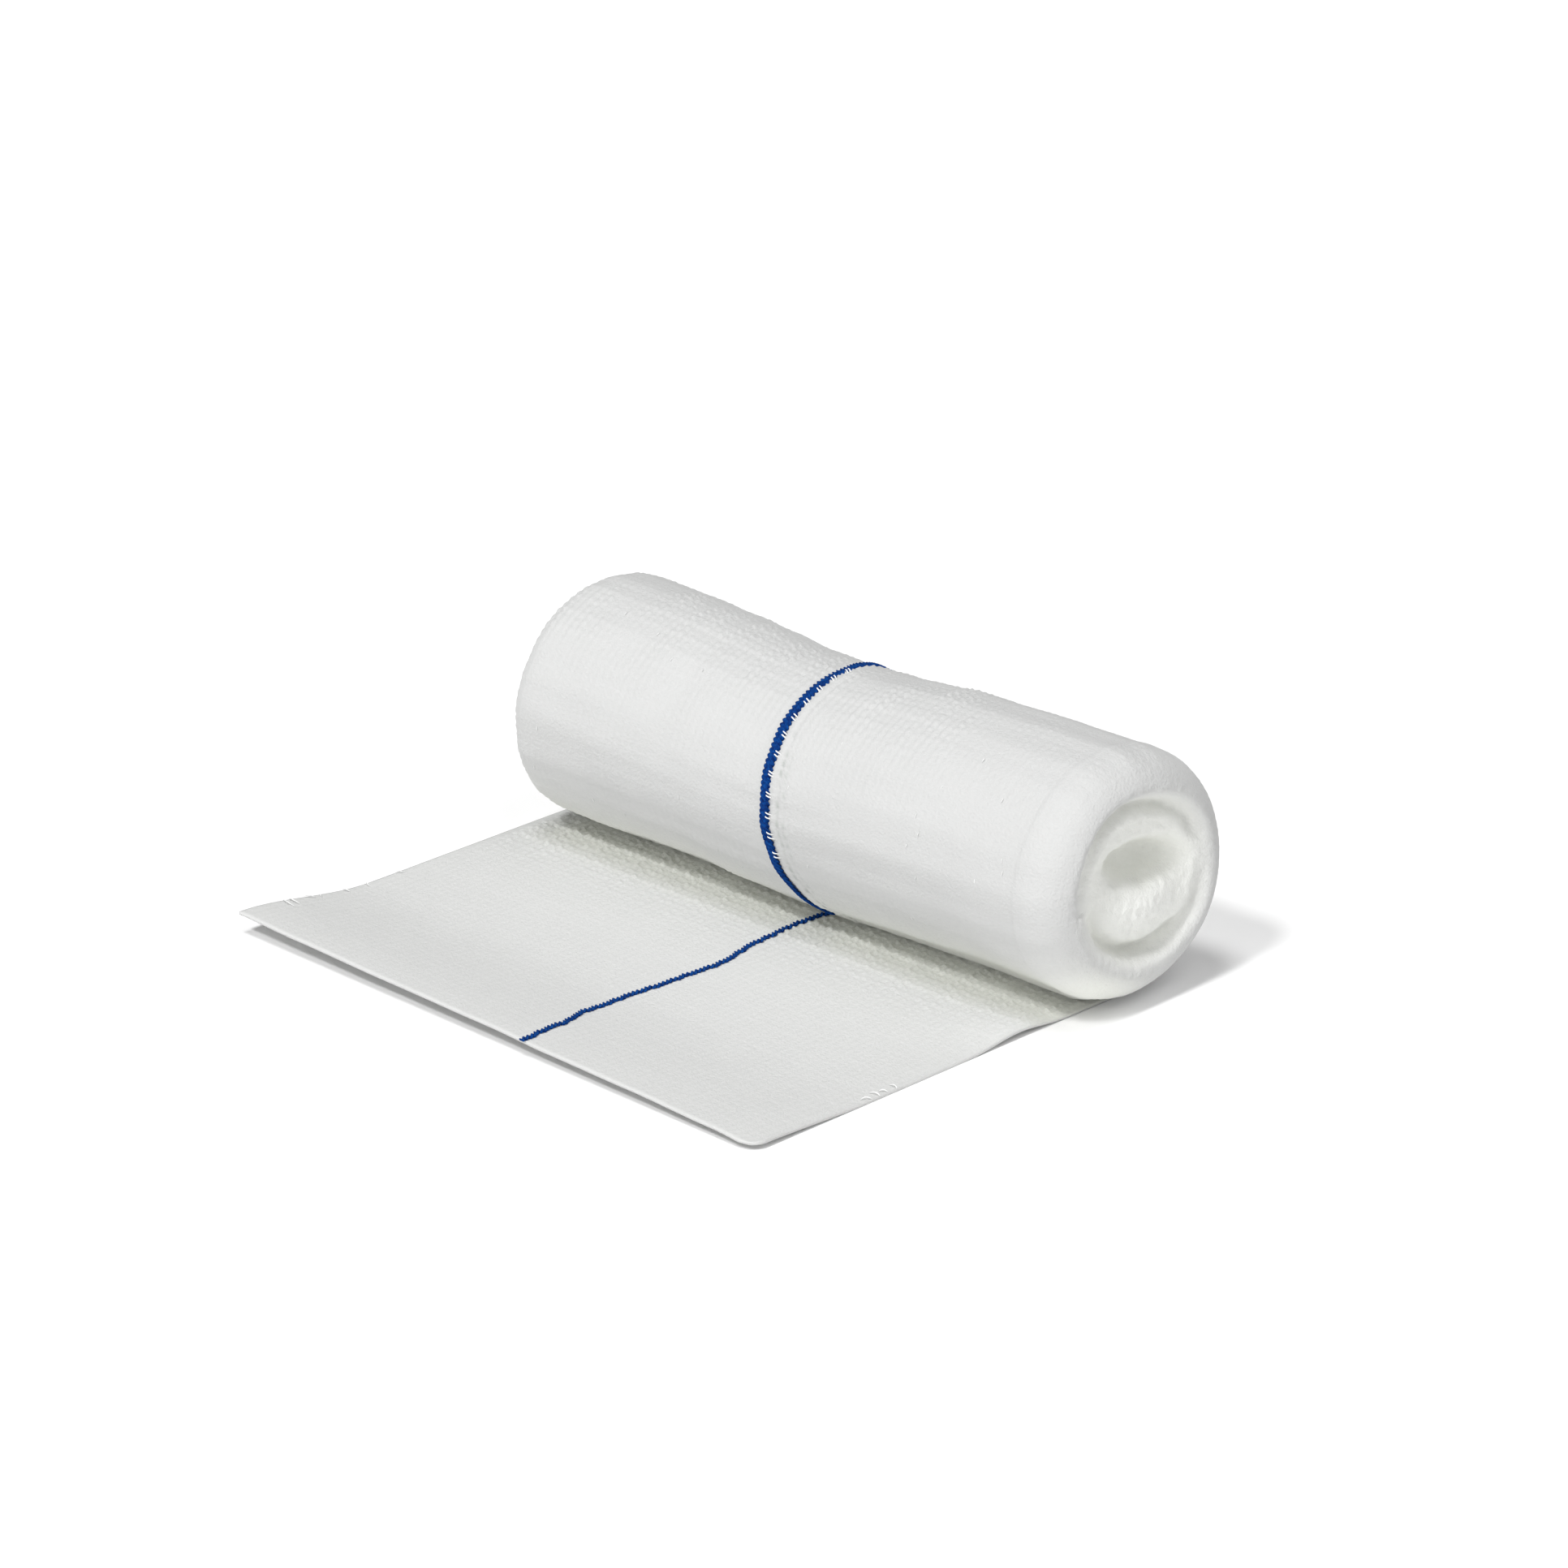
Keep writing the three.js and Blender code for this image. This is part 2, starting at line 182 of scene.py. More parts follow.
# The nip, where the roll meets the loose end: the knit is bolder there
NIP_RIPPLE = 2.1
NIP_Y = -9
NIP_REACH = 9

# The marker yarn: angle from the front upwards and x on the roll, y and x on the loose end
YARN_PATH_ON_ROLL = (
    (-60, 7.6),
    (-38, 6.6),
    (-16, 5.3),
    (4, 4.1),
    (30, 3.1),
    (50, 2.5),
    (88, 2.3),
    (105, 1.5),
    (120, 0.5),
    (240, 0.3),
)
YARN_PATH_ON_END = (
    (-66, 7.3),
    (-59, 6.5),
    (-52, 4.7),
    (-44, 4.0),
    (-37, 4.6),
    (-28, 5.1),
    (-19, 3.6),
    (-12, 3.3),
    (-5, 3.6),
)
ROLL_YARN = {
    "from": -62,
    "to": 250,
    "above": 0.2,
    "sunk_at_top": 0.14,
    "narrow": 0.62,
    "ply_radius": 0.37,
    "twist_radius": 0.56,
    "core_radius": 0.64,
    "pitch": 2.3,
    "flatten": 0.42,
}
END_YARN = {
    "past_edge": 0.5,
    "stop_y": -4.5,
    "above": 0.12,
    "rise_at_nip": 0.2,
    "wave": 0.07,
    "ply_radius": 0.28,
    "twist_radius": 0.24,
    "pitch": 1.5,
    "flatten": 0.65,
}

# White weft threads that cross the marker yarn's near edge, in pairs. The rows follow one thread:
# angle from its middle, share of its reach, height above the cloth, radius
STITCHES_FROM = -18
STITCHES_TO = 90
PAIR_APART = 1.7
STITCH_LEAN = 0.2
STITCH_REACH = (0.75, 1.0)
STITCH_START = 0.38
STITCH_THREAD = (
    (0.5, 0.0, 0.42, 0.05),
    (0.3, 0.2, 0.5, 0.09),
    (0.0, 0.5, 0.44, 0.1),
    (-0.3, 0.8, 0.22, 0.09),
    (-0.5, 1.0, 0.04, 0.05),
)

# Loose fibres on the loose end: x, y, heading from +X towards +Y, length
EDGE_THREADS = (
    (-50.0, -57.3, -36, 3.0),
    (-50.0, -56.2, -30, 2.5),
    (-50.1, -53.4, 20, 1.6),
    (-50.0, -50.5, -60, 1.5),
    (-50.1, -46.3, -20, 1.4),
    (-50.0, -42.0, -50, 1.3),
    (-50.1, -36.5, 10, 1.2),
    (50.0, -45.2, -150, 1.5),
    (50.1, -43.8, 165, 1.7),
    (50.0, -42.2, -170, 1.3),
    (50.1, -40.6, 150, 1.5),
)
EDGE_THREAD_RADIUS = 0.08

# Short specks of fibre on the roll's front
SPECKS = 28
SPECK_RADIUS = 0.045

# Colours, each red, green, blue, alpha
CLOTH_COLOUR = (0.578, 0.58, 0.576, 1)
# Lighter colour: painted light on the ends, the roll's lower front and the nip, and the loose end's even
# lighter tone
PAINTED_LIGHT_AND_TONE_COLOUR = (0.855, 0.86, 0.835, 1)
# A greenish painted shade tint for the end's grooves and hollow, the roll's lower front and the nip
PAINTED_SHADE_TINT_COLOUR = (0.77, 0.78, 0.715, 1)
# Painted shade seen through the knit's gaps and the ladder beside the marker yarn
GAP_SHADE_COLOUR = (0.44, 0.46, 0.44, 1)
YARN_DARK = (0.001, 0.018, 0.12, 1)
YARN_LIGHT = (0.002, 0.064, 0.28, 1)
THREAD_DARK = (0.78, 0.79, 0.78, 1)
THREAD_LIGHT = (0.9, 0.9, 0.9, 1)
FLOOR_COLOUR = (0.97, 0.97, 0.97, 1)
FLOOR_HALF_SIZE = 4.0
WHITE = (1, 1, 1, 1)

# The studio's soft suns: name, azimuth counted as the camera's, elevation, strength, angle across
SUNS = (
    ("key", 6, 52, 1.41, 9),
    ("high", 5, 76, 1.17, 16),
    ("side", 92, 52, 0.87, 45),
    ("low", 8, 10, 1.0, 16),
    ("back", 180, 60, 0.2, 50),
)
SKY_STRENGTH = 0.12


def strip_origin():
    """The strip frame's origin in the row frame, in metres."""
    sheet_low, sheet_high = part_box("loose_end")
    roll_low, roll_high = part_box("roll")
    return np.array([(sheet_low.x + sheet_high.x) / 2, (roll_low.y + roll_high.y) / 2, 0.0])


ORIGIN = strip_origin()


def to_row_frame(points):
    """Strip frame millimetres to row frame metres."""
    return np.asarray(points, float) * MM + ORIGIN


def smoothstep(value, low, high):
    t = np.clip((value - low) / (high - low), 0, 1)
    return t * t * (3 - 2 * t)


def look(table, value, column=1):
    """A column of a table, easing from row to row."""
    keys = np.array([row[0] for row in table], float)
    values = np.array([row[column] for row in table], float)
    value = np.clip(value, keys[0], keys[-1])
    index = np.clip(np.searchsorted(keys, value, side="right") - 1, 0, len(keys) - 2)
    share = smoothstep(value, keys[index], keys[index + 1])
    return values[index] + (values[index + 1] - values[index]) * share


def bell(distance, width):
    return np.exp(-((distance / width) ** 2))


def drift(points, size, seed):
    """A smooth uneven value from -1 to 1 at each point, the same on every run."""
    offset = Vector((seed * 17.3, seed * 5.1, seed * 9.7))
    flat = np.asarray(points, float).reshape(-1, 3) / size
    values = [noise.noise(Vector(p) + offset) for p in flat]
    return np.array(values).reshape(np.asarray(points).shape[:-1])


def normals_of(grid):
    """Unit normals of a grid of points, from the way its rows and columns run."""
    along = np.gradient(grid, axis=0)
    across = np.gradient(grid, axis=1)
    normal = np.cross(along, across)
    length = np.linalg.norm(normal, axis=-1, keepdims=True)
    return normal / np.maximum(length, 1e-9)


def make_mesh(name, points, faces, uv=None):
    mesh = bpy.data.meshes.new(name)
    mesh.from_pydata(to_row_frame(points).tolist(), [], faces)
    mesh.polygons.foreach_set("use_smooth", [True] * len(mesh.polygons))
    if uv is not None:
        layer = mesh.uv_layers.new(name="cloth")
        loops = np.zeros(len(mesh.loops), int)
        mesh.loops.foreach_get("vertex_index", loops)
        layer.data.foreach_set("uv", np.asarray(uv, float)[loops].ravel())
    mesh.update()
    piece = bpy.data.objects.new(name, mesh)
    bpy.context.scene.collection.objects.link(piece)
    return piece


def add_value(piece, name, values):
    """A number at each vertex, which the material reads."""
    attribute = piece.data.attributes.new(name, "FLOAT", "POINT")
    attribute.data.foreach_set("value", np.asarray(values, np.float32))


# The wound part

def axis_at(x):
    lift = look(ROLL_SECTIONS, x, 2)
    return 0.5 * lift, AXIS_HEIGHT + lift


def wound_distance(x, distance, angle, shoulder):
    """Distance from the axis once the roll has settled on the strip under it.
    The outermost turn leaves the roll's back for the floor, and the front lies on the loose end."""
    drawn_in = look(LOWER_FRONT, x) * bell(angle - LOWER_FRONT_ANGLE["middle"], LOWER_FRONT_ANGLE["width"])
    from_spread = (angle - NEAR_SPREAD["middle"] + 180) % 360 - 180
    spread = (
        NEAR_SPREAD["out"]
        * smoothstep(x, NEAR_SPREAD["x_from"], NEAR_SPREAD["x_to"])
        * bell(from_spread, NEAR_SPREAD["width"])
    )
    distance = distance + (spread - drawn_in) * smoothstep(distance, 6, 15)
    behind = (angle - 270 + 180) % 360 - 180
    _, height = axis_at(x)
    at_back = behind > BACK_FLAT_ANGLE
    ground = np.where(at_back, FLOOR_CLEARANCE, CLOTH)
    to_ground = (height - ground) / np.cos(np.radians(np.clip(behind, -60, 60)))
    free = np.where(
        behind > 0,
        smoothstep(behind, BACK_FLAT_ANGLE, BACK_LEAVING_ANGLE),
        smoothstep(-behind, FRONT_FLAT_ANGLE, FRONT_LEAVING_ANGLE),
    )
    near_surface = 1 - smoothstep(shoulder, 0, ROOM_FADES_OVER)
    near_surface = near_surface * (1 - smoothstep(x, STRIP_WIDTH / 2 - 3, STRIP_WIDTH / 2 + 2))
    return distance + (to_ground - distance) * (1 - free) * near_surface


def end_relief(distance, angle):
    """How far an end lies behind its crest."""
    turn = np.where(angle < END_GROOVE[0][0], angle + 360, angle)
    radius = look(END_GROOVE, turn, 1)
    groove = look(END_GROOVE, turn, 2) * bell(distance - radius, GROOVE_HALF_WIDTH)
    inner = INNER_COIL["set_back"] * (1 - smoothstep(distance, INNER_COIL["start"], INNER_COIL["stop"]))
    y = distance * np.cos(np.radians(angle))
    z = distance * np.sin(np.radians(angle))
    tilt = math.radians(HOLLOW["tilt"])
    wave = LIP_WAVE["height"] * np.sin(TURN * y / LIP_WAVE["pitch"]) * smoothstep(HOLLOW["z"] - z, 0, 2)
    across = (y - HOLLOW["y"]) * math.cos(tilt) + (z - HOLLOW["z"]) * math.sin(tilt)
    upright = (z - HOLLOW["z"]) * math.cos(tilt) - (y - HOLLOW["y"]) * math.sin(tilt) + wave
    from_middle = np.hypot(across / HOLLOW["across"], upright / HOLLOW["upright"])
    hollow = HOLLOW["depth"] * bell(from_middle**2, 1)
    core = CORE["height"] * bell(y - CORE["y"], CORE["across"]) * bell(z - CORE["z"], CORE["upright"])
    return groove + inner + hollow - core


def shoulder_curve(shoulder):
    """A shoulder at many points: distance along it from the end's face, how far it has dropped behind
    the crest and how far out it has come. It runs into the face and the side without a sudden bend."""
    turned = np.linspace(0, math.pi / 2, 400)
    dropped = shoulder["along"] * (1 - np.abs(np.cos(turned)) ** (2 / SHOULDER_SQUARENESS))
    out = shoulder["inward"] * np.sin(turned) ** (2 / SHOULDER_SQUARENESS)
    along = np.concatenate([[0], np.cumsum(np.hypot(np.diff(dropped), np.diff(out)))])
    return along, dropped, out


def roll_profile(share):
    """Where a column lies: x before relief, distance from the axis, how far inside the rim, relief scale
    and distance along the surface. share runs from 0 at the far end's middle to 1 at the near end's."""
    ends = []
    for crest, way, shoulder in ((FAR_END_X, -1, FAR_SHOULDER), (NEAR_END_X, 1, NEAR_SHOULDER)):
        radius = float(look(ROLL_SECTIONS, crest, 1))
        curve = shoulder_curve(shoulder)
        ends.append({
            "crest": crest,
            "way": way,
            "radius": radius,
            "face": radius - shoulder["inward"],
            "curve": curve,
            "arc": curve[0][-1],
        })
    far, near = ends
    body_from = FAR_END_X + FAR_SHOULDER["along"]
    body_to = NEAR_END_X - NEAR_SHOULDER["along"]
    body = body_to - body_from
    total = far["face"] + far["arc"] + body + near["arc"] + near["face"]
    at = share * total

    def end_columns(end, travelled):
        along, dropped, out = end["curve"]
        on_shoulder = np.clip(travelled - end["face"], 0, end["arc"])
        distance = np.minimum(travelled, end["face"]) + np.interp(on_shoulder, along, out)
        set_back = np.interp(on_shoulder, along, dropped)
        return end["crest"] - end["way"] * set_back, distance, end["radius"] - distance

    far_x, far_distance, far_inside = end_columns(far, at)
    near_x, near_distance, near_inside = end_columns(near, total - at)
    far_stop = far["face"] + far["arc"]
    near_start = total - near["face"] - near["arc"]
    body_x = body_from + (at - far_stop)
    on_far, on_near = at < far_stop, at > near_start
    x = np.where(on_far, far_x, np.where(on_near, near_x, body_x))
    distance = np.where(on_far, far_distance, np.where(on_near, near_distance, look(ROLL_SECTIONS, x, 1)))
    inside = np.where(on_far, far_inside, np.where(on_near, near_inside, 0))
    relief = np.where(on_far, FAR_END_RELIEF, np.where(on_near, -1.0, 0))
    return x, distance, inside, relief, at


def knit(column, row, seed):
    """Relief of the knit where a column and row of the fine grid cross, and how open the cloth is there,
    which the material paints as shade in the gaps.
    A seed gives every run the same unevenness."""
    chance = np.random.RandomState(seed)
    wales = column.max() // COLUMNS_PER_WALE + 2
    wefts = row.max() // ROWS_PER_WEFT + 2
    fullness = chance.uniform(0.35, 1.25, (wales, wefts))
    weight = chance.uniform(0.75, 1.15, wefts)
    wale = (column + COLUMNS_PER_WALE // 2) // COLUMNS_PER_WALE
    weft = row // ROWS_PER_WEFT
    across = 0.5 + 0.5 * np.cos(TURN * column / COLUMNS_PER_WALE)
    ridge = np.array(WEFT_PROFILE)[row % ROWS_PER_WEFT]
    loop = np.array(LOOP_PROFILE)[(row + wale % 2) % ROWS_PER_WEFT]
    slant = np.cos(TURN * (row + wale) / (ROWS_PER_WEFT / 2))
    height = (
        WALE_RELIEF * across
        + WEFT_RELIEF * ridge * weight[weft]
        + LOOP_RELIEF * loop * across * fullness[wale, weft]
        + SLANT_RELIEF * slant * across
    )
    gap_shade = (1 - across) * (1 - ridge)
    return height, gap_shade


def build_roll():
    rows = ROLL_WEFTS * ROWS_PER_WEFT
    share = np.arange(1, ROLL_COLUMNS) / ROLL_COLUMNS
    turned = np.arange(rows) / rows * 360
    x, distance, inside, relief, along = (np.repeat(v[:, None], rows, 1) for v in roll_profile(share))
    angle = np.repeat(turned[None, :], ROLL_COLUMNS - 1, 0)
    set_back = end_relief(distance, angle)
    x = x + relief * set_back
    pushed = bell(angle - FAR_PUSH["middle"], FAR_PUSH["width"]) * smoothstep(distance, 5, 12)
    x = x - FAR_PUSH["out"] * pushed * smoothstep(-x, -FAR_PUSH["x_from"], -FAR_PUSH["x_to"])
    settled = wound_distance(x, distance, angle, inside)
    axis_y, axis_z = axis_at(x)
    grid = np.stack([
        x,
        axis_y + WIDENING * settled * np.cos(np.radians(angle)),
        axis_z + settled * np.sin(np.radians(angle)),
    ], -1)

    # The knit stands out along the surface's own direction. On the ends only the edges of the turns show.
    column = np.repeat(np.arange(1, ROLL_COLUMNS)[:, None], rows, 1)
    row = np.repeat(np.arange(rows)[None, :], ROLL_COLUMNS - 1, 0)
    knitted, gap_shade = knit(column, row, 11)
    from_front = (180 - angle + 90) % 360 - 90
    rise = BOLDNESS_AT_TOP - BOLDNESS_AT_FRONT
    boldness = BOLDNESS_AT_FRONT + rise * smoothstep(from_front, *FRONT_TO_TOP)
    boldness = boldness + (BOLDNESS_AT_BACK - BOLDNESS_AT_TOP) * smoothstep(from_front, *TOP_TO_BACK)
    boldness = boldness * (1 - CALM_SHARE * smoothstep(x, *CALM_NEAR_END_X))
    boldness = boldness * (1 - CALM_SHARE * smoothstep(inside, *CALM_INSIDE_RIM))
    patches = 1 + BOLDNESS_PATCH["strength"] * drift(grid, BOLDNESS_PATCH["size"], 6)
    boldness = boldness * np.clip(patches, BOLDNESS_PATCH["least"], BOLDNESS_PATCH["most"])
    knitted = knitted * boldness
    gap_shade = gap_shade * np.clip(boldness, 0, 1)
    on_end = smoothstep(inside, 1.5, 6)
    turns = np.cos(TURN * (distance / TURN_PITCH - angle / 360)) * (0.6 + 0.8 * drift(grid, 4, 3))
    fuzz = drift(grid, FUZZ_SIZE, 4)
    height = knitted * (1 - on_end) + on_end * (TURN_RELIEF * turns + FUZZ_RELIEF * fuzz)
    height = height * smoothstep(distance, 1.0, 3.5)
    from_yarn = x - look(YARN_PATH_ON_ROLL, from_front)
    rung = 0.45 + 0.55 * np.cos(TURN * row / (ROWS_PER_WEFT / 2))
    for offset, rise, width in LADDER_RUNGS:
        height = height + (1 - on_end) * rise * bell(from_yarn - offset, width) * rung
    broken = (row % 3 > 0) * np.clip(0.7 + 1.5 * drift(grid, 1.7, 7), 0, 1)
    broken = broken * (1 - smoothstep(from_front, 20, 60))
    # The ladder's gaps get painted shade, broken into dashes
    for offset, shade, width in LADDER_SHADE:
        gap_shade = np.maximum(gap_shade, shade * bell(from_yarn - offset, width) * broken)
    normal = normals_of(np.concatenate([grid[:, -1:], grid, grid[:, :1]], 1))[:, 1:-1]
    middle = ROLL_COLUMNS // 2
    outward = np.sum(normal[middle] * (grid[middle] - [x[middle, 0], 0, AXIS_HEIGHT]), -1)
    normal = normal * np.sign(np.median(outward))
    arc = np.radians(angle) * MEAN_RADIUS
    steps = drift(np.stack([x / STEP_ALONG, arc / STEP_ACROSS, 0 * arc], -1), 1, 8)
    seam = smoothstep(np.abs(angle - 180), 178, 165)
    on_side = 1 - smoothstep(inside, 0, 3)
    at_front = 1 - 0.6 * smoothstep(from_front, 100, 140)
    uneven = DRIFT_RELIEF * drift(grid, DRIFT_SIZE, 1) + STEP_RELIEF * steps * seam * on_side * at_front
    grid = grid + normal * (height + uneven)[..., None]
    grid[..., 2] = np.maximum(grid[..., 2], FLOOR_CLEARANCE)

    far_pole = grid[0].mean(0)
    near_pole = grid[-1].mean(0)
    points = np.concatenate([far_pole[None], grid.reshape(-1, 3), near_pole[None]])
    last = len(points) - 1
    faces = []
    for j in range(rows):
        after = (j + 1) % rows
        faces.append((0, 1 + after, 1 + j))
        base = 1 + (ROLL_COLUMNS - 2) * rows
        faces.append((last, base + j, base + after))
        for i in range(ROLL_COLUMNS - 2):
            here = 1 + i * rows
            faces.append((here + j, here + after, here + rows + after, here + rows + j))
    uv = np.stack([along * MM, angle / 360 * TURN * MEAN_RADIUS * MM], -1).reshape(-1, 2)
    uv = np.concatenate([uv[:1], uv, uv[-1:]])
    roll = make_mesh("wound_roll", points, faces, uv)

    # What the material reads: painted shade in the knit's gaps, a greenish painted shade tint in shaded
    # places, and painted light that makes the ends, the roll's lower front and the nip lighter
    below = bell(angle - 245, 26) * (1 - on_end)
    # A greenish painted shade tint, stronger the further a place on an end lies back, and on the roll's
    # lower front
    painted_shade_tint = np.clip(np.maximum(on_end * set_back / 4, below), 0, 1)
    # The ends and the roll's lower front are made lighter: painted light standing in for light scattered
    # through the gauze and for fill light on the shaded lower front
    painted_light_and_tone = np.maximum(smoothstep(inside, 3, 9), 0.7 * below)
    add_value(roll, "gap_shade", np.concatenate([[0], (gap_shade * (1 - on_end)).ravel(), [0]]))
    add_value(roll, "painted_shade_tint", np.concatenate([[0], painted_shade_tint.ravel(), [0]]))
    add_value(roll, "painted_light_and_tone", np.concatenate([[1], painted_light_and_tone.ravel(), [1]]))
    return roll


# The loose end

def front_edge_y(x):
    return FRONT_EDGE_Y + FRONT_EDGE_SKEW * x


def underside_height(x, y):
    """Height of the loose end's underside above the floor."""
    share = 1 - smoothstep(y - front_edge_y(x), 0, FRONT_LIFT_REACH)
    ripple = (
        EDGE_RIPPLE["height"]
        * bell(x - EDGE_RIPPLE["x"], EDGE_RIPPLE["across"])
        * bell(y - EDGE_RIPPLE["y"], EDGE_RIPPLE["along"])
    )
    return look(FRONT_LIFT, x) * share + ripple + FLOOR_CLEARANCE


def build_sheet():
    across = np.arange(SHEET_COLUMNS + 1) / SHEET_COLUMNS - 0.5
    length = np.arange(SHEET_ROWS + 1) / SHEET_ROWS
    share, along = np.meshgrid(length, across, indexing="ij")
    y_mid = FRONT_EDGE_Y + (TUCKED_END_Y - FRONT_EDGE_Y) * share
    cut = np.maximum(0, FRONT_CORNER_RADIUS - (y_mid - FRONT_EDGE_Y))
    trim = FRONT_CORNER_RADIUS - np.sqrt(FRONT_CORNER_RADIUS**2 - cut**2)
    x = (along + 0.5) * (STRIP_WIDTH - trim) - STRIP_WIDTH / 2
    y = y_mid + FRONT_EDGE_SKEW * x * (1 - share)
    base = underside_height(x, y)
    row, column = np.meshgrid(np.arange(SHEET_ROWS + 1), np.arange(SHEET_COLUMNS + 1), indexing="ij")
    height, gap_shade = knit(column, row, 12)
    middle = np.stack([x, y, base], -1)
    uneven = 0.04 * drift(middle, 14, 2)
    by_roll = bell(y - NIP_Y, NIP_REACH)
    from_side = STRIP_WIDTH / 2 - np.abs(x)
    height = height * (SHEET_SMOOTHNESS + NIP_RIPPLE * by_roll) * smoothstep(from_side, 0.1, 2)
    top = middle.copy()
    top[..., 2] += CLOTH - 0.06 + height + uneven
    bottom = middle.copy()
    points = np.concatenate([top.reshape(-1, 3), bottom.reshape(-1, 3)])
    rows, columns = x.shape
    below = rows * columns
    faces = []
    for i in range(rows - 1):
        for j in range(columns - 1):
            a, b = i * columns + j, i * columns + j + 1
            c, d = b + columns, a + columns
            faces.append((a, b, c, d))
            faces.append((below + d, below + c, below + b, below + a))
        a, d = i * columns, (i + 1) * columns
        faces.append((a, d, below + d, below + a))
        b, c = a + columns - 1, d + columns - 1
        faces.append((c, b, below + b, below + c))
    for j in range(columns - 1):
        faces.append((j + 1, j, below + j, below + j + 1))
        a = (rows - 1) * columns + j
        faces.append((a, a + 1, below + a + 1, below + a))
    uv = np.stack([x * MM, y * MM], -1).reshape(-1, 2)
    sheet = make_mesh("loose_cloth", points, faces, np.concatenate([uv, uv]))
    # Painted shade in the knit's gaps
    add_value(sheet, "gap_shade", np.concatenate([gap_shade.ravel(), gap_shade.ravel()]))
    # A greenish painted shade tint in the nip, on the top only
    nip = smoothstep(y, -17, -10) * smoothstep(x, -50, -42)
    add_value(sheet, "painted_shade_tint", np.concatenate([nip.ravel(), 0 * nip.ravel()]))
    # The top is lighter by an even tone and, in the nip, by painted fill light; the underside only by the
    # tone
    on_top = SHEET_TONE + 0.51 * nip.ravel()
    under = SHEET_TONE + 0 * nip.ravel()
    add_value(sheet, "painted_light_and_tone", np.concatenate([on_top, under]))
    return sheet


# Strands

def tube(centres, outs, sides, radius, flatten=1.0, corners=6):
    """Points and faces of a closed strand along centres, out and side being its two directions at each."""
    turn = np.arange(corners) / corners * TURN
    radius = np.broadcast_to(np.asarray(radius, float), (len(centres),))
    rings = (
        centres[:, None]
        + radius[:, None, None] * np.cos(turn)[None, :, None] * sides[:, None]
        + radius[:, None, None] * flatten * np.sin(turn)[None, :, None] * outs[:, None]
    )
    count = len(centres)
    points = np.concatenate([rings.reshape(-1, 3), centres[:1], centres[-1:]])
    faces = []
    for i in range(count - 1):
        for j in range(corners):
            a, b = i * corners + j, i * corners + (j + 1) % corners
            faces.append((a, a + corners, b + corners, b))
    first, last = count * corners, count * corners + 1
    for j in range(corners):
        after = (j + 1) % corners
        faces.append((first, j, after))
        faces.append((last, (count - 1) * corners + after, (count - 1) * corners + j))
    return points, faces


def join_tubes(name, tubes):
    points, faces, start = [], [], 0
    for tube_points, tube_faces in tubes:
        points.append(tube_points)
        faces.extend(tuple(start + i for i in face) for face in tube_faces)
        start += len(tube_points)
    return make_mesh(name, np.concatenate(points), faces)


def twisted(centres, outs, sides, plies, ply_radius, twist_radius, pitch, flatten):
    """Plies twisted round a line, as a marker yarn is spun."""
    steps = np.linalg.norm(np.diff(centres, axis=0), axis=1)
    travelled = np.concatenate([[0], np.cumsum(steps)])
    made = []
    for ply in range(plies):
        turn = TURN * (travelled / pitch + ply / plies)
        middle = (
            centres
            + (twist_radius * np.cos(turn))[:, None] * sides
            + (twist_radius * flatten * np.sin(turn))[:, None] * outs
        )
        made.append(tube(middle, outs, sides, ply_radius, flatten))
    return made


def roll_surface(x, from_front, above):
    """A point above the roll's surface, its angle counted from the front upwards, and the way out there."""
    angle = 180 - np.asarray(from_front, float)
    distance = wound_distance(x, look(ROLL_SECTIONS, x, 1), angle % 360, 0 * angle) + above
    axis_y, axis_z = axis_at(x)
    out = np.stack([0 * angle, np.cos(np.radians(angle)), np.sin(np.radians(angle))], -1)
    point = np.stack([
        x + 0 * angle,
        axis_y + WIDENING * distance * out[..., 1],
        axis_z + distance * out[..., 2],
    ], -1)
    return point, out


def build_roll_yarn():
    """Three plies round a core, sunk into the cloth over the roll's top and narrower low at the front."""
    yarn = ROLL_YARN
    from_front = np.linspace(yarn["from"], yarn["to"], 1050)
    x = look(YARN_PATH_ON_ROLL, from_front)
    sunk = smoothstep(from_front, 60, 100) - smoothstep(from_front, 130, 160)
    centres, outs = roll_surface(x, from_front, yarn["above"] - yarn["sunk_at_top"] * sunk)
    sides = np.tile([1.0, 0, 0], (len(x), 1))
    width = yarn["narrow"] + (1 - yarn["narrow"]) * smoothstep(from_front, -42, -8)
    ply_radius = yarn["ply_radius"] * width
    twist_radius = yarn["twist_radius"] * width
    plies = twisted(centres, outs, sides, 3, ply_radius, twist_radius, yarn["pitch"], yarn["flatten"])
    core = tube(centres, outs, sides, yarn["core_radius"] * width, yarn["flatten"])
    return join_tubes("marker_yarn_round", plies + [core])


def build_end_yarn():
    """Two plies on the loose end, a little wavy, raised near the nip where the knit is bolder."""
    yarn = END_YARN
    y = np.linspace(FRONT_EDGE_Y - yarn["past_edge"], yarn["stop_y"], 460)
    x = look(YARN_PATH_ON_END, y)
    z = underside_height(x, y) + CLOTH + yarn["above"] + yarn["rise_at_nip"] * bell(y - NIP_Y, NIP_REACH)
    x = x + yarn["wave"] * np.sin(TURN * y / 2.1) + yarn["wave"] * np.sin(TURN * y / 3.3)
    centres = np.stack([x, y, z], -1)
    outs = np.tile([0, 0, 1.0], (len(x), 1))
    sides = np.tile([1.0, 0, 0], (len(x), 1))
    radii = yarn["ply_radius"], yarn["twist_radius"]
    plies = twisted(centres, outs, sides, 2, *radii, yarn["pitch"], yarn["flatten"])
    return join_tubes("marker_yarn_along", plies)


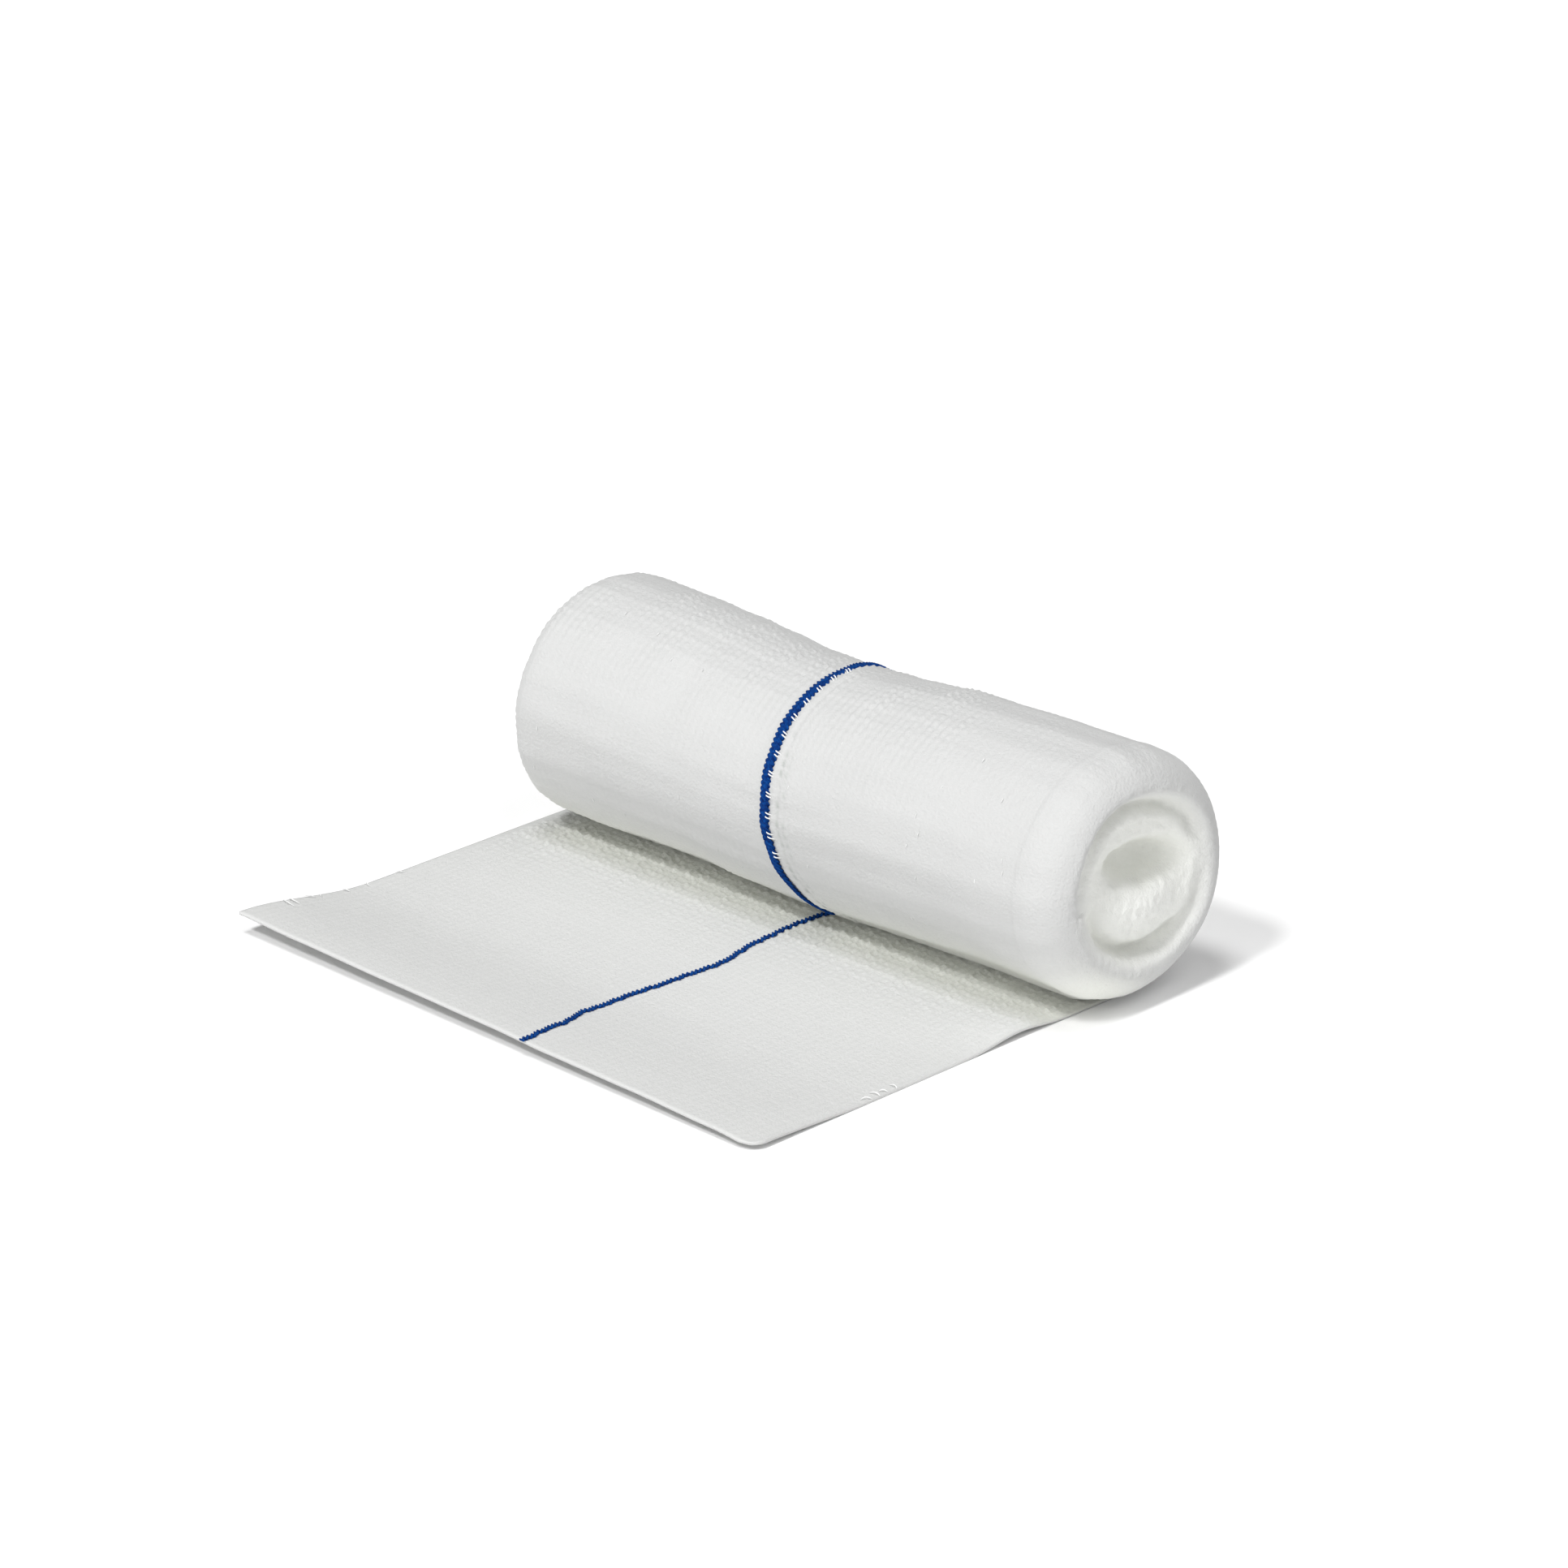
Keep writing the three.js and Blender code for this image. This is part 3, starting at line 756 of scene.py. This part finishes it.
def build_marker_stitches():
    """Pairs of short white weft threads across the marker yarn's near edge, one pair to a weft row."""
    chance = np.random.RandomState(5)
    made = []
    around, out_share, above, radius = np.array(STITCH_THREAD).T
    for weft in range(ROLL_WEFTS):
        start = (180 - weft * 360 / ROLL_WEFTS + 60) % 360 - 60
        if not STITCHES_FROM < start < STITCHES_TO:
            continue
        for step in (0.0, PAIR_APART):
            lean = chance.uniform(-STITCH_LEAN, STITCH_LEAN)
            reach = chance.uniform(*STITCH_REACH)
            from_front = start + step + lean + around
            x = look(YARN_PATH_ON_ROLL, from_front) + STITCH_START + reach * out_share
            centres, outs = roll_surface(x, from_front, above)
            sides = np.cross(np.gradient(centres, axis=0), outs)
            sides = sides / np.linalg.norm(sides, axis=1, keepdims=True)
            made.append(tube(centres, outs, sides, radius))
    return join_tubes("marker_stitches", made)


def build_stray_threads():
    """Loose fibres: a few at the loose end's side edges, and short specks on the roll's front."""
    chance = np.random.RandomState(8)
    made = []
    along = np.linspace(0, 1, 6)
    for x0, y0, heading, length in EDGE_THREADS:
        turned = np.radians(heading + 25 * along)
        x = x0 + length * along * np.cos(turned)
        y = y0 + length * along * np.sin(turned)
        z = underside_height(np.clip(x, -50, 50), y) + CLOTH + 0.03 + 0.25 * np.sin(math.pi * along)
        centres = np.stack([x, y, z], -1)
        outs = np.tile([0, 0, 1.0], (len(x), 1))
        sides = np.cross(np.gradient(centres, axis=0), outs)
        sides = sides / np.linalg.norm(sides, axis=1, keepdims=True)
        made.append(tube(centres, outs, sides, EDGE_THREAD_RADIUS * np.array([0.6, 1, 1, 1, 0.8, 0.4])))
    for _ in range(SPECKS):
        start = chance.uniform(-35, 70)
        from_front = start + chance.uniform(1.2, 2.2) * along
        x = chance.uniform(-43, 48) + chance.uniform(-0.2, 0.2) * along
        above = 0.13 + 0.05 * np.sin(math.pi * along)
        centres, outs = roll_surface(x, from_front, above)
        sides = np.tile([1.0, 0, 0], (len(x), 1))
        made.append(tube(centres, outs, sides, SPECK_RADIUS * np.array([0.5, 1, 1, 1, 1, 0.5])))
    return join_tubes("stray_threads", made)


# Materials

def principled(name):
    material = bpy.data.materials.new(name)
    material.use_nodes = True
    return material, material.node_tree, material.node_tree.nodes["Principled BSDF"]


def gauze_material():
    material, tree, shader = principled("gauze")
    nodes, links = tree.nodes, tree.links
    shader.inputs["Roughness"].default_value = 0.95
    shader.inputs["Specular IOR Level"].default_value = 0.15
    shader.inputs["Sheen Weight"].default_value = 0.15
    shader.inputs["Sheen Roughness"].default_value = 0.6

    place = nodes.new("ShaderNodeTexCoord")
    patches = nodes.new("ShaderNodeTexNoise")
    patches.inputs["Scale"].default_value = 160
    patches.inputs["Detail"].default_value = 3
    links.new(place.outputs["Object"], patches.inputs["Vector"])
    tone = nodes.new("ShaderNodeValToRGB")
    tone.color_ramp.elements[0].position = 0.3
    tone.color_ramp.elements[0].color = (0.985, 0.985, 0.985, 1)
    tone.color_ramp.elements[1].position = 0.7
    tone.color_ramp.elements[1].color = WHITE
    links.new(patches.outputs["Fac"], tone.inputs["Fac"])

    def blend_towards(colour, towards, attribute_name, strength):
        """Mix a colour towards another by a value that each vertex carries."""
        value = nodes.new("ShaderNodeAttribute")
        value.attribute_name = attribute_name
        share = nodes.new("ShaderNodeMath")
        share.operation = "MULTIPLY"
        share.inputs[1].default_value = strength
        links.new(value.outputs["Fac"], share.inputs[0])
        mix = nodes.new("ShaderNodeMix")
        mix.data_type = "RGBA"
        links.new(share.outputs["Value"], mix.inputs["Factor"])
        if isinstance(colour, tuple):
            mix.inputs["A"].default_value = colour
        else:
            links.new(colour, mix.inputs["A"])
        mix.inputs["B"].default_value = towards
        return mix.outputs["Result"]

    # Lighter where light is painted on the ends, the roll's lower front and the nip, and by an even tone
    # over the loose end
    cloth = blend_towards(CLOTH_COLOUR, PAINTED_LIGHT_AND_TONE_COLOUR, "painted_light_and_tone", 1.0)
    # Greenish painted shade tint in the end's hollows and grooves, on the roll's lower front and in the nip
    cloth = blend_towards(cloth, PAINTED_SHADE_TINT_COLOUR, "painted_shade_tint", 0.6)
    # Painted shade in the knit's gaps and in the ladder beside the marker yarn
    cloth = blend_towards(cloth, GAP_SHADE_COLOUR, "gap_shade", 0.22)
    whole = nodes.new("ShaderNodeMix")
    whole.data_type = "RGBA"
    whole.blend_type = "MULTIPLY"
    whole.inputs["Factor"].default_value = 1.0
    links.new(cloth, whole.inputs["A"])
    links.new(tone.outputs["Color"], whole.inputs["B"])
    links.new(whole.outputs["Result"], shader.inputs["Base Color"])

    fibres = nodes.new("ShaderNodeTexNoise")
    fibres.inputs["Scale"].default_value = 2600
    fibres.inputs["Detail"].default_value = 4
    links.new(place.outputs["Object"], fibres.inputs["Vector"])
    bump = nodes.new("ShaderNodeBump")
    bump.inputs["Strength"].default_value = 0.75
    bump.inputs["Distance"].default_value = 0.00018
    links.new(fibres.outputs["Fac"], bump.inputs["Height"])
    links.new(bump.outputs["Normal"], shader.inputs["Normal"])
    return material


def yarn_material():
    material, tree, shader = principled("marker_yarn")
    nodes, links = tree.nodes, tree.links
    shader.inputs["Roughness"].default_value = 0.85
    shader.inputs["Specular IOR Level"].default_value = 0.12
    place = nodes.new("ShaderNodeTexCoord")
    fibres = nodes.new("ShaderNodeTexNoise")
    fibres.inputs["Scale"].default_value = 2400
    fibres.inputs["Detail"].default_value = 3
    links.new(place.outputs["Object"], fibres.inputs["Vector"])
    tone = nodes.new("ShaderNodeValToRGB")
    tone.color_ramp.elements[0].position = 0.35
    tone.color_ramp.elements[0].color = YARN_DARK
    tone.color_ramp.elements[1].position = 0.7
    tone.color_ramp.elements[1].color = YARN_LIGHT
    links.new(fibres.outputs["Fac"], tone.inputs["Fac"])
    links.new(tone.outputs["Color"], shader.inputs["Base Color"])
    bump = nodes.new("ShaderNodeBump")
    bump.inputs["Strength"].default_value = 0.5
    bump.inputs["Distance"].default_value = 0.0001
    links.new(fibres.outputs["Fac"], bump.inputs["Height"])
    links.new(bump.outputs["Normal"], shader.inputs["Normal"])
    return material


def white_thread_material():
    material, tree, shader = principled("white_thread")
    shader.inputs["Roughness"].default_value = 0.8
    nodes, links = tree.nodes, tree.links
    place = nodes.new("ShaderNodeTexCoord")
    fibres = nodes.new("ShaderNodeTexNoise")
    fibres.inputs["Scale"].default_value = 3000
    links.new(place.outputs["Object"], fibres.inputs["Vector"])
    tone = nodes.new("ShaderNodeValToRGB")
    tone.color_ramp.elements[0].color = THREAD_DARK
    tone.color_ramp.elements[1].color = THREAD_LIGHT
    links.new(fibres.outputs["Fac"], tone.inputs["Fac"])
    links.new(tone.outputs["Color"], shader.inputs["Base Color"])
    return material


# Stage

def add_camera():
    azimuth, elevation = math.radians(CAMERA_AZIMUTH), math.radians(CAMERA_ELEVATION)
    back = Vector((
        math.sin(azimuth) * math.cos(elevation),
        -math.cos(azimuth) * math.cos(elevation),
        math.sin(elevation),
    ))
    data = bpy.data.cameras.new("photo_camera")
    data.lens = CAMERA_LENS
    data.sensor_width = CAMERA_SENSOR
    data.clip_start = 0.01
    data.clip_end = 20
    camera = bpy.data.objects.new("photo_camera", data)
    camera.location = Vector(to_row_frame(CAMERA_AIM)) + back * CAMERA_DISTANCE * MM
    camera.rotation_mode = "QUATERNION"
    camera.rotation_quaternion = (-back).to_track_quat("-Z", "Y")
    bpy.context.scene.collection.objects.link(camera)
    bpy.context.scene.camera = camera


def add_floor():
    mesh = bpy.data.meshes.new("floor")
    half = FLOOR_HALF_SIZE
    corners = [(-half, -half, 0), (half, -half, 0), (half, half, 0), (-half, half, 0)]
    mesh.from_pydata(corners, [], [(0, 1, 2, 3)])
    floor = bpy.data.objects.new("floor", mesh)
    bpy.context.scene.collection.objects.link(floor)
    material, _, shader = principled("pale_floor")
    shader.inputs["Base Color"].default_value = FLOOR_COLOUR
    shader.inputs["Roughness"].default_value = 1.0
    shader.inputs["Specular IOR Level"].default_value = 0.0
    mesh.materials.append(material)


def add_sun(name, azimuth, elevation, strength, angle):
    """A soft far light."""
    data = bpy.data.lights.new(name, "SUN")
    data.energy = strength
    data.angle = math.radians(angle)
    lamp = bpy.data.objects.new(name, data)
    a, e = math.radians(azimuth), math.radians(elevation)
    toward = Vector((math.sin(a) * math.cos(e), -math.cos(a) * math.cos(e), math.sin(e)))
    lamp.rotation_mode = "QUATERNION"
    lamp.rotation_quaternion = toward.to_track_quat("Z", "Y")
    bpy.context.scene.collection.objects.link(lamp)


def add_world(strength):
    """A white background that lights the scene less than it shows."""
    world = bpy.data.worlds.new("studio")
    bpy.context.scene.world = world
    world.use_nodes = True
    nodes, links = world.node_tree.nodes, world.node_tree.links
    lit = nodes["Background"]
    lit.inputs["Color"].default_value = WHITE
    lit.inputs["Strength"].default_value = strength
    seen = nodes.new("ShaderNodeBackground")
    seen.inputs["Color"].default_value = WHITE
    path = nodes.new("ShaderNodeLightPath")
    mix = nodes.new("ShaderNodeMixShader")
    links.new(path.outputs["Is Camera Ray"], mix.inputs["Fac"])
    links.new(lit.outputs["Background"], mix.inputs[1])
    links.new(seen.outputs["Background"], mix.inputs[2])
    links.new(mix.outputs["Shader"], nodes["World Output"].inputs["Surface"])


def dress(piece, material):
    """Give a piece its material and put it on the roll's one body."""
    piece.data.materials.append(material)
    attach(piece, "root")
    return piece


# The pieces

gauze = gauze_material()
marker = yarn_material()
thread = white_thread_material()

roll = dress(build_roll(), gauze)
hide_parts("roll")
sheet = dress(build_sheet(), gauze)
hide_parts("loose_end")
roll_yarn = dress(build_roll_yarn(), marker)
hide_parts("marker_yarn_roll")
end_yarn = dress(build_end_yarn(), marker)
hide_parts("marker_yarn_end")
dress(build_marker_stitches(), thread)
dress(build_stray_threads(), thread)

add_camera()
add_floor()
for sun in SUNS:
    add_sun(*sun)
add_world(SKY_STRENGTH)
bpy.context.scene.view_settings.view_transform = "Standard"
